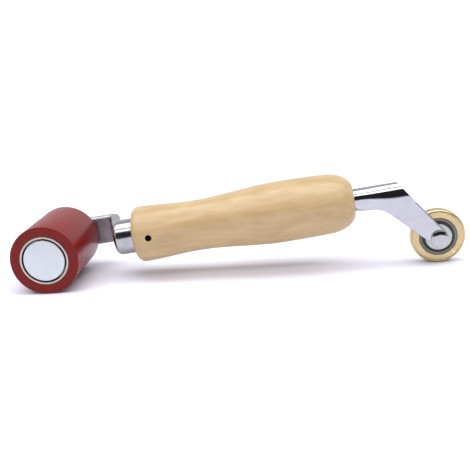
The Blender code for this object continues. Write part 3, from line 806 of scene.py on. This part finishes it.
def retaining_ring(groove):
    """Open spring ring with an eye in each end for the pliers."""
    front, back = groove + 0.12, groove + 1.18
    opening, steps = math.radians(24), 150
    bm = bmesh.new()
    loops = []
    for i in range(steps + 1):
        angle = opening / 2 + (math.tau - opening) * i / steps
        swell = 0.5 * (1 + math.cos(angle))
        inner = TUBE_BORE_R - 1.5 - 0.9 * swell ** 6
        section = eased(ring_section(inner, TUBE_BORE_R + 0.42, front, back), 0.12, 3)
        loops.append([bm.verts.new(about(ROLLER_AXLE)(r, angle, y)) for r, y in section])
    stitch(bm, loops)
    ring = piece("eyed_retaining_ring", bm, "spring")
    for side in (-1, 1):
        angle = side * (opening / 2 + math.radians(4.5))
        eye = about(ROLLER_AXLE)(TUBE_BORE_R - 1.25, angle, (front + back) / 2)
        carve(ring, bored(eye, (0, 1, 0), 0.5, 4, 24))
    settle(ring, "rear_circlip")


def stitch(bm, loops):
    """Close a row of equal loops into a solid."""
    count = len(loops[0])
    for low, high in zip(loops, loops[1:]):
        for i in range(count):
            j = (i + 1) % count
            bm.faces.new((low[i], low[j], high[j], high[i]))
    bm.faces.new(loops[0])
    bm.faces.new(list(reversed(loops[-1])))


def roller_axle():
    front = -ROLLER_W / 2
    seat = -BEARING_Y - ROLLER_BEARING["width"] / 2 - CLEAR
    shoulder = BAR_FRONT - CLEAR
    root = TAIL_R - 0.5
    section = [(0, front), (HEAD_R, front, 0.35), (HEAD_R, front + HEAD_T, 0.2)]
    section += [(BOSS_R, front + HEAD_T, 0.2), (BOSS_R, seat, 0.2), (AXLE_R, seat, 0.1)]
    section += [(AXLE_R, shoulder, 0.3), (TAIL_R, shoulder, 0.0), (TAIL_R, BAR_BACK - 0.5, 0.2)]
    section += [(root, BAR_BACK + 0.1, 0.1), (root, TAIL_END - 0.5, 0.4)]
    section += [(root - 0.7, TAIL_END, 0.1), (0, TAIL_END)]
    axle = piece("flat_headed_axle", turned(section, 0.2, about(ROLLER_AXLE)), "head")
    sizes = {"Length": TAIL_END - BAR_BACK - 1.4, "Pitch": THREAD_PITCH,
             "Root radius": root + 0.03, "Crest radius": THREAD_CREST_R, "Steps per turn": 48}
    thread = grown(thread_tree(sizes), sizes, "head")
    start = Matrix.Translation(ROLLER_AXLE + Vector((0, BAR_BACK + 0.6, 0)))
    bmesh.ops.transform(thread, matrix=start @ Matrix.Rotation(-math.pi / 2, 4, "X"),
                        verts=thread.verts)
    carve(axle, thread, "UNION")
    settle(axle, "roller_axle")
    bearing_back = BEARING_Y + ROLLER_BEARING["width"] / 2
    standoff = ring_section(AXLE_R + CLEAR, STANDOFF_R, bearing_back + CLEAR, shoulder - CLEAR)
    lathe("turned_standoff", "zinc", standoff, ROLLER_AXLE, 0.3, "bracket_standoff", sides=96)
    washer = ring_section(TAIL_R + CLEAR, WASHER_R, BAR_BACK + CLEAR, BAR_BACK + WASHER_T)
    lathe("pressed_washer", "zinc", washer, ROLLER_AXLE, 0.25, "axle_washer", sides=96)
    lock_nut(BAR_BACK + WASHER_T + CLEAR)


def lock_nut(front):
    """Six-sided nut with bevelled corners and a round locking collar."""
    flats = front + NUT_T - 1.5
    corner = NUT_FLATS / 2 / math.cos(math.pi / 6)
    hexagon = bmesh.new()
    loops = []
    angles = [math.tau * i / 6 + TILT for i in range(6)]
    for y in (front, flats):
        loops.append([hexagon.verts.new(about(ROLLER_AXLE)(corner, a, y)) for a in angles])
    stitch(hexagon, loops)
    nut = piece("bevelled_lock_nut", hexagon, "zinc")
    mid_r = NUT_FLATS / 2 - 0.05
    wide = corner + 0.3
    bevel = [(0, front), (mid_r, front), (wide, front + 0.75)]
    bevel += [(wide, flats - 0.75), (mid_r, flats), (0, flats)]
    carve(nut, revolve(bevel, about(ROLLER_AXLE), 96, closed=False), "INTERSECT")
    crown = [(0, front + 1), (NUT_CROWN_R, front + 1, 0.0)]
    crown += [(NUT_CROWN_R, front + NUT_T, 0.6), (0, front + NUT_T)]
    carve(nut, turned(crown, 0.3, about(ROLLER_AXLE), 96), "UNION")
    middle = ROLLER_AXLE + Vector((0, front + NUT_T / 2, 0))
    carve(nut, bored(middle, (0, 1, 0), TAIL_R + CLEAR, 3 * NUT_T))
    settle(nut, "axle_lock_nut")


# Bar, collar and handle --------------------------------------------------------------------------

def bar_shape(extra=0.0):
    """The flat bar along its bent middle line; extra grows it on every side and at its end."""
    far = BAR_Y - AXIS_Y
    corners = [(0.0, far), (BAR_BENDS[0], far), (BAR_BENDS[1], 0.0), (BAR_END_X, 0.0)]
    corners = [Vector(corner) for corner in corners]
    path = [(corners[0] + (corners[1] - corners[0]) * t, BAR_H) for t in (0.0, 0.3, 0.6)]
    for before, here, after in zip(corners, corners[1:], corners[2:]):
        start = here + (before - here).normalized() * BEND_REACH
        end = here + (after - here).normalized() * BEND_REACH
        path += [(point, BAR_H) for point in curve(start, here, end, 14)]
    path.append((corners[-1] + Vector((extra, 0)), BAR_H))
    tip = []
    for i in range(22):
        angle = math.radians(84) * (1 - i / 22)
        tip.append((Vector((-BAR_H / 2 * math.sin(angle), far)), BAR_H * math.cos(angle)))
    stations = tip + path
    bm = bmesh.new()
    loops = []
    for k, (point, height) in enumerate(stations):
        low = stations[max(k - 1, 0)][0]
        high = stations[min(k + 1, len(stations) - 1)][0]
        ahead = (high - low).normalized()
        side = Vector((-ahead.y, ahead.x))
        edge = min(BAR_EDGE_R, height * 0.3) + extra
        half_t, half_h = BAR_T / 2 + extra, height / 2 + extra
        loop = []
        for quarter in range(4):
            sx, sz = (1, -1, -1, 1)[quarter], (1, 1, -1, -1)[quarter]
            for i in range(8):
                angle = math.pi / 2 * (quarter + i / 7)
                spot = point + side * (sx * (half_t - edge) + edge * math.cos(angle))
                rise = sz * (half_h - edge) + edge * math.sin(angle)
                loop.append(bm.verts.new(on_handle_line(spot.x, spot.y, rise)))
        loops.append(loop)
    stitch(bm, loops)
    return bm


def bracket():
    bar = piece("bent_flat_bar", bar_shape(), "bar")
    carve(bar, bored(ROLLER_AXLE + Vector((0, BAR_Y, 0)), (0, 1, 0), TAIL_R + CLEAR, 4 * BAR_T))
    even_normals(bar)
    settle(bar, "roller_bracket")


def collar():
    nose, foot = HANDLE_X - COLLAR_L, HANDLE_X - CLEAR
    section = [(0, nose)]
    for i in range(13):
        angle = math.pi / 2 * i / 12
        radius = NOSE_R + (COLLAR_R - NOSE_R) * math.sin(angle)
        section.append((radius, nose + NOSE_L * (1 - math.cos(angle)), 0.0))
    section += [(COLLAR_R, foot, 0.4), (TANG_R, foot, 0.0)]
    section += [(TANG_R, HANDLE_X + TANG_L, 1.0), (0, HANDLE_X + TANG_L)]
    part = piece("slotted_chrome_collar", turned(section, 0.3, about_handle), "collar")
    carve(part, bar_shape(extra=0.2))
    cross = on_handle_line(HANDLE_X + PIN_AT, 0, PIN_RISE)
    carve(part, bored(cross, (0, 1, 0), PIN_R + CLEAR, 20))
    even_normals(part)
    settle(part, "collar_and_tang")


def handle():
    sizes = {**HANDLE, "Rings": 170, "Sides": SIDES}
    grip = grown(handle_tree(sizes), sizes, "wood")
    line = Matrix.Translation(Vector((0, AXIS_Y, AXIS_Z))) @ Matrix.Rotation(-TILT, 4, "Y")
    bmesh.ops.transform(grip, matrix=line @ Matrix.Translation((HANDLE_X, 0, 0)), verts=grip.verts)
    part = piece("turned_maple_grip", grip, "wood", smooth=50.0)
    along = on_handle_line(1) - on_handle_line(0)
    end = HANDLE_X + HANDLE["Length"]
    for middle, radius, depth in ((HANDLE_X + TANG_L / 2, TANG_R, TANG_L),
                                  (end - ROD_IN / 2, ROD_R, ROD_IN)):
        hole = bored(on_handle_line(middle), along, radius + CLEAR, depth + 2, 96)
        carve(part, hole, smooth=50.0)
    cross = on_handle_line(HANDLE_X + PIN_AT, 0, PIN_RISE)
    carve(part, bored(cross, (0, 1, 0), PIN_HOLE_R, 50), smooth=50.0)
    settle(part, "wooden_handle")
    pin = [(0, -PIN_HALF), (PIN_R, -PIN_HALF, 0.35), (PIN_R, PIN_HALF, 0.35), (0, PIN_HALF)]
    piece("plain_cross_pin", turned(pin, 0.3, about(cross), 48), "pin", "handle_cross_pin")


# Penny arm and wheel -----------------------------------------------------------------------------

def axis_line(x, offset=0.0):
    """A point in X and Z on the rod's middle line, or set off above or below it."""
    return Vector((x, AXIS_Z + math.tan(TILT) * x + offset / math.cos(TILT)))


def touch_point(start, turn):
    """Where a line from a point touches the round end of the blade."""
    to_axle = Vector((PENNY_AXLE.x, PENNY_AXLE.z)) - start
    lean = math.asin(BLADE_END_R / to_axle.length) * turn
    ahead = Matrix.Rotation(lean, 2) @ to_axle.normalized()
    return start + ahead * math.sqrt(to_axle.length ** 2 - BLADE_END_R ** 2)


def blade_outline():
    """Outline of the blade in X and Z: shoulder, upper edge, round end, lower edge and crook."""
    axle = Vector((PENNY_AXLE.x, PENNY_AXLE.z))
    upper, lower = touch_point(CORNER, 1), touch_point(CROOK, -1)
    fall = (upper.y - CORNER.y) / (upper.x - CORNER.x)
    gap = CORNER.y - fall * CORNER.x - axis_line(0, -BLADE_DROP).y
    shoulder = axis_line(gap / (math.tan(TILT) - fall), -BLADE_DROP)
    first = math.atan2(upper.y - axle.y, upper.x - axle.x)
    last = math.atan2(lower.y - axle.y, lower.x - axle.x)
    last -= math.tau if last > first else 0
    outline = [shoulder, shoulder + (upper - shoulder).normalized() * 1.2]
    for i in range(37):
        angle = first + (last - first) * i / 36
        outline.append(axle + BLADE_END_R * Vector((math.cos(angle), math.sin(angle))))
    start = CROOK + (lower - CROOK).normalized() * 6.0
    end = axis_line(CROOK.x - 6.5, -ROD_R * 0.93)
    return outline + curve(start, CROOK, end, 24) + [axis_line(end.x, -BLADE_DROP)]


def blade():
    """The flat blade, with its front edges rounded more than its back ones."""
    outline = blade_outline()
    count = len(outline)
    inward = []
    for i, here in enumerate(outline):
        before, after = here - outline[i - 1], outline[(i + 1) % count] - here
        sides = [Vector((way.y, -way.x)).normalized() for way in (before, after)]
        inward.append((sides[0] + sides[1]).normalized())
    layers = []
    bm = bmesh.new()
    rows = [(BLADE_EDGE, BLADE_FRONT, 1, k / 6) for k in range(7)]
    rows += [(0.4, BLADE_BACK, -1, 1 - k / 3) for k in range(4)]
    for edge, face, into, share in rows:
        sweep = math.pi / 2 * share
        inset = [edge * (1 - math.sin(sweep)) * (0 < i < count - 2) for i in range(count)]
        y = face + into * edge * (1 - math.cos(sweep))
        spots = [point + way * depth for point, way, depth in zip(outline, inward, inset)]
        layers.append([bm.verts.new((spot.x, y, spot.y)) for spot in spots])
    stitch(bm, layers)
    return bm


def rod_shape():
    """Round rod whose front is forged flat, little by little, where it runs into the blade."""
    start = HANDLE_X + HANDLE["Length"] - ROD_IN
    stations = [start, start + 0.3, start + 0.8, 150.0, 165.0]
    stations += [174.0 + 0.75 * i for i in range(60)]

    def ease(x, low, high):
        t = min(1.0, max(0.0, (x - low) / (high - low)))
        return t * t * (3 - 2 * t)

    bm = bmesh.new()
    loops = []
    for x in stations:
        shrink = max(0.0, 0.8 - (x - start)) * 0.9
        drop = 3.3 * ease(x, 184.0, 205.5)
        square = 2 + 10 * ease(x, 176.0, 192.0) ** 2
        loop = []
        for i in range(128):
            angle = math.tau * i / 128
            out, up = math.sin(angle), math.cos(angle)
            rise = ROD_R * up
            if out > 0 and up >= 0:
                rise = -drop + (ROD_R + drop) * up
            elif out > 0:
                power = 2 / square
                out, low = abs(out) ** power, -(abs(up) ** power)
                rise = -drop + (ROD_R - drop) * low
            grow = 1 - shrink / ROD_R
            loop.append(bm.verts.new(on_handle_line(x, -ROD_R * out * grow, rise * grow)))
        loops.append(loop)
    stitch(bm, loops)
    return bm


def mitre():
    """Block that cuts the rod off along the line of the blade's upper edge."""
    corner = Vector((CORNER.x, 0, CORNER.y))
    touch = touch_point(CORNER, 1)
    ahead = (Vector((touch.x, 0, touch.y)) - corner).normalized()
    out = Vector((-ahead.z, 0, ahead.x))
    bm = bmesh.new()
    bmesh.ops.create_cube(bm, size=1)
    turn = Matrix((ahead, (0, 1, 0), out)).transposed().to_4x4()
    place = Matrix.Translation(corner + out * 20) @ turn @ Matrix.Diagonal((90, 30, 40, 1))
    bmesh.ops.transform(bm, matrix=place, verts=bm.verts)
    return bm, out


def break_mitre_edge(obj, out):
    """Break the sharp edge left round the cut end of the rod."""
    bm = bmesh.new()
    bm.from_mesh(obj.data)
    sharp = []
    for edge in bm.edges:
        if len(edge.link_faces) == 2:
            on_cut = [face.normal.dot(out) > 0.9999 for face in edge.link_faces]
            if on_cut[0] != on_cut[1] and edge.calc_face_angle() > math.radians(25):
                sharp.append(edge)
    bmesh.ops.bevel(bm, geom=sharp, offset=0.35 * MM, offset_type="OFFSET", segments=3,
                    profile=0.5, affect="EDGES", clamp_overlap=True)
    bm.to_mesh(obj.data)
    bm.free()
    shade(obj.data, 40.0)


def level_front(obj):
    """Let the flat front of the rod and the blade's face catch the light as one surface."""
    mesh = obj.data
    limit = to_row((0, BLADE_FRONT, 0)).y + 0.025 * MM
    normals = [Vector(corner.vector) for corner in mesh.corner_normals]
    for face in mesh.polygons:
        flush = [mesh.vertices[k].co.y < limit for k in face.vertices]
        if face.normal.y < -0.7 or all(flush):
            for k, is_flush in zip(face.loop_indices, flush):
                if is_flush:
                    normals[k] = Vector((0, -1, 0))
    mesh.normals_split_custom_set(normals)


def penny_arm():
    arm = piece("forged_penny_arm", rod_shape(), "arm")
    cutter, out = mitre()
    carve(arm, cutter)
    carve(arm, blade(), "UNION")
    spigot = PENNY_AXLE + Vector((0, BLADE_FRONT, 0))
    carve(arm, bored(spigot, (0, 1, 0), SPIGOT_R + CLEAR, 12))
    break_mitre_edge(arm, out)
    even_normals(arm)
    level_front(arm)
    settle(arm, "penny_arm")


def penny_wheel():
    front, back = WHEEL_FRONT, WHEEL_FRONT + WHEEL_W
    bore = PENNY_BEARING["out"] + 0.1
    face = [(bore, 0.0, 0.2), (GROOVE_R - 0.32, 0.0, 0.06), (GROOVE_R, 0.22, 0.08)]
    face += [(GROOVE_R + 0.30, 0.02, 0.06), (WHEEL_R - 0.5, 0.25, 0.3), (WHEEL_R, 1.1, 0.35)]
    section = [(radius, front + depth, ease) for radius, depth, ease in face]
    section += [(radius, back - depth, ease) for radius, depth, ease in reversed(face)]
    lathe("turned_brass_wheel", "brass", section, PENNY_AXLE, 0.2, "brass_penny_wheel", sides=192)
    bearing("penny_bearing", PENNY_AXLE, front, PENNY_BEARING)
    near, lip = BLADE_BACK + 0.1, front - 0.12
    spacer = [(SPIGOT_R + CLEAR, near, 0.1), (SPACER_R, near, 0.3), (SPACER_R, lip - 0.3, 0.3)]
    spacer += [(SPACER_LIP_R, lip - 0.3, 0.0), (SPACER_LIP_R, lip, 0.05)]
    spacer.append((SPIGOT_R + CLEAR, lip, 0.1))
    lathe("turned_spacer_disc", "spacer", spacer, PENNY_AXLE, 0.1, "penny_spacer", sides=128)
    rivet()


def rivet():
    """Wheel axle: rear flange, journal, and a spigot closed to a domed head before the blade."""
    section = [(0, RIVET_HEAD - RIVET_H)]
    for i in range(1, 25):
        share = i / 24
        y = RIVET_HEAD - RIVET_H + 1.0 * share ** 3.1
        section.append((RIVET_R * share, y, 0.0 if i < 24 else 0.12))
    journal, back = WHEEL_FRONT, WHEEL_FRONT + WHEEL_W + CLEAR
    bore = PENNY_BEARING["bore"] - CLEAR
    section += [(RIVET_R, RIVET_HEAD, 0.1), (SPIGOT_R, RIVET_HEAD, 0.0)]
    section += [(SPIGOT_R, journal, 0.0), (bore, journal, 0.1), (bore, back, 0.0)]
    end = back - CLEAR + FLANGE_T
    section += [(FLANGE_R, back, 0.15), (FLANGE_R, end, 0.5), (0, end)]
    piece("domed_rivet_axle", turned(section, 0.1, about(PENNY_AXLE), 128), "rivet",
          "penny_axle_rivet", smooth=32.0)


# Stage -------------------------------------------------------------------------------------------

def floor(reach):
    """Pale floor that stretches further to the front than to the back."""
    bm = bmesh.new()
    bmesh.ops.create_grid(bm, x_segments=1, y_segments=1, size=reach)
    bmesh.ops.translate(bm, vec=(0, -reach / 2, 0), verts=bm.verts)
    mesh = bpy.data.meshes.new("pale_floor")
    bm.to_mesh(mesh)
    bm.free()
    paint = bpy.data.materials.new("pale_floor")
    paint.use_nodes = True
    shader = paint.node_tree.nodes["Principled BSDF"]
    shader.inputs["Base Color"].default_value = (0.86, 0.855, 0.955, 1)
    shader.inputs["Roughness"].default_value = 0.6
    shader.inputs["Specular IOR Level"].default_value = 0.2
    mesh.materials.append(paint)
    placed("pale_floor", mesh)


def softbox(name, place, size, watts):
    """A wide lamp that faces straight down."""
    light = bpy.data.lights.new(name, "AREA")
    light.shape = "RECTANGLE"
    light.size, light.size_y = size
    light.energy = watts
    placed(name, light).location = place


def surroundings():
    """White studio behind and overhead, and the unlit room in front, for metal to mirror."""
    world = bpy.data.worlds.new("studio")
    bpy.context.scene.world = world
    world.use_nodes = True
    tree = world.node_tree
    tree.nodes.clear()
    way = tree.nodes.new("ShaderNodeTexCoord").outputs["Generated"]
    split = node_in(tree, "ShaderNodeSeparateXYZ", {0: way})
    side, depth, height = (Number(tree, out) for out in split.outputs)
    lift = height.sum("ARCTAN2", depth * -1) * (180 / math.pi)
    front_dark = lift.ramp(3.0, 5.5) * lift.ramp(46.0, 58.0, 1.0, 0.0)
    aside = side.sum("ABSOLUTE").ramp(0.55, 0.85, 1.0, 0.0)
    glow = (front_dark * aside) * -0.97 + 1
    between_lamps = lift.ramp(60.0, 64.0) * lift.ramp(72.0, 76.0, 1.0, 0.0)
    glow = glow * lift.ramp(46.0, 60.0, 1.0, 0.6) * lift.ramp(110.0, 160.0, 1.0, 1.5)
    glow = glow * (between_lamps * -0.8 + 1)
    mirrored = node_in(tree, "ShaderNodeBackground",
                       {"Color": (0.97, 0.97, 1.0, 1), "Strength": glow})
    backdrop = node_in(tree, "ShaderNodeBackground", {"Color": (1, 1, 1, 1), "Strength": 1.05})
    seen = tree.nodes.new("ShaderNodeLightPath").outputs["Is Camera Ray"]
    both = node_in(tree, "ShaderNodeMixShader",
                   {0: seen, 1: mirrored.outputs[0], 2: backdrop.outputs[0]})
    tree.links.new(both.outputs[0], tree.nodes.new("ShaderNodeOutputWorld").inputs[0])


def camera(place, angles, focal_length):
    """A short way to the right of the tool's middle, looking down by fifteen degrees."""
    heading, dip, roll = (math.radians(angle) for angle in angles)
    ahead = Vector((math.sin(heading), math.cos(heading), 0)) * math.cos(dip)
    ahead.z = -math.sin(dip)
    level = Vector((math.cos(heading), -math.sin(heading), 0))
    upright = level.cross(ahead)
    right = level * math.cos(roll) + upright * math.sin(roll)
    up = upright * math.cos(roll) - level * math.sin(roll)
    lens = bpy.data.cameras.new("camera")
    lens.sensor_width = 36.0
    lens.lens = focal_length
    lens.clip_start = 0.01
    obj = placed("camera", lens)
    turn = Matrix((right, up, -ahead)).transposed().to_4x4()
    obj.matrix_world = Matrix.Translation(to_row(place)) @ turn
    bpy.context.scene.camera = obj


camera(place=(139.659, -421.429, 137.819), angles=(-4.1846, 15.2197, -3.9513), focal_length=56.322)
silicone_roller()
roller_axle()
bracket()
collar()
handle()
penny_arm()
penny_wheel()
floor(reach=1.1)
surroundings()
softbox("front_softbox", place=(0.0, -1.32, 1.9), size=(4.0, 0.77), watts=27.0)
softbox("top_softbox", place=(0.0, -0.03, 1.9), size=(4.0, 1.17), watts=50.0)
bpy.context.scene.view_settings.view_transform = "Standard"
